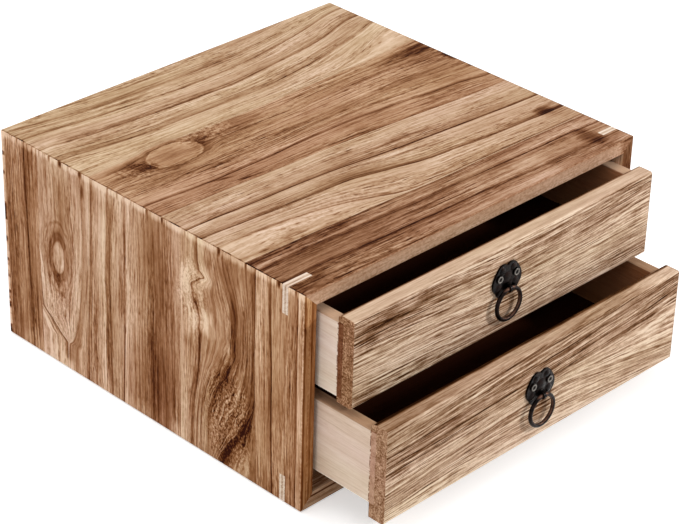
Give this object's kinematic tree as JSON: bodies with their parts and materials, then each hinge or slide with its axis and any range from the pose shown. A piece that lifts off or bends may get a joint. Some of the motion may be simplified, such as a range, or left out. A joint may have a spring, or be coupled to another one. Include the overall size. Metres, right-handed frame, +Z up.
{
  "type": "desktop mini drawers",
  "caption": "Low wooden desktop case with mitred, keyed corners and stacked pull-out drawers, each with a small metal ring pull.",
  "frame": {"origin": "centre of the underside of the case, without the drawers", "axes": "+Z up, -Y toward the drawer fronts, +X to the right seen from the front"},
  "size_m": [0.261, 0.3007, 0.134],
  "materials": {
    "case_wood": "satin",
    "front_wood": "satin",
    "inner_wood": "matte",
    "pale_wood": "matte",
    "key_wood": "satin",
    "dark_metal": "satin"
  },
  "bodies": {
    "case": {"case_top": "case_wood", "case_bottom": "case_wood", "case_left": "case_wood", "case_right": "case_wood", "corner_key_top_left": "key_wood", "corner_key_top_right": "key_wood", "corner_key_bottom_left": "key_wood", "corner_key_bottom_right": "key_wood", "back_panel": "inner_wood", "divider_shelf": "inner_wood", "lower_runner_left": "inner_wood", "lower_runner_right": "inner_wood"},
    "upper_drawer": {"upper_drawer_front": "front_wood", "upper_drawer_left_side": "pale_wood", "upper_drawer_right_side": "pale_wood", "upper_drawer_back": "pale_wood", "upper_drawer_bottom": "pale_wood", "upper_pull_plate": "dark_metal", "upper_pull_nails": "dark_metal"},
    "lower_drawer": {"lower_drawer_front": "front_wood", "lower_drawer_left_side": "pale_wood", "lower_drawer_right_side": "pale_wood", "lower_drawer_back": "pale_wood", "lower_drawer_bottom": "pale_wood", "lower_pull_plate": "dark_metal", "lower_pull_nails": "dark_metal"},
    "upper_ring": {"upper_pull_ring": "dark_metal"},
    "lower_ring": {"lower_pull_ring": "dark_metal"}
  },
  "joints": [
    {"name": "upper_drawer_slide", "type": "slide", "parent": "case", "child": "upper_drawer", "axis": [0, -1, 0], "range_m": [-0.0238, 0.1462]},
    {"name": "upper_ring_hinge", "type": "hinge", "parent": "upper_drawer", "child": "upper_ring", "pos_m": [-0.003, -0.1499, 0.0988], "axis": [-1, 0, 0], "range_deg": [-5, 150]},
    {"name": "lower_drawer_slide", "type": "slide", "parent": "case", "child": "lower_drawer", "axis": [0, -1, 0], "range_m": [-0.0495, 0.1205]},
    {"name": "lower_ring_hinge", "type": "hinge", "parent": "lower_drawer", "child": "lower_ring", "pos_m": [0.0005, -0.1756, 0.0412], "axis": [-1, 0, 0], "range_deg": [-5, 150]}
  ]
}
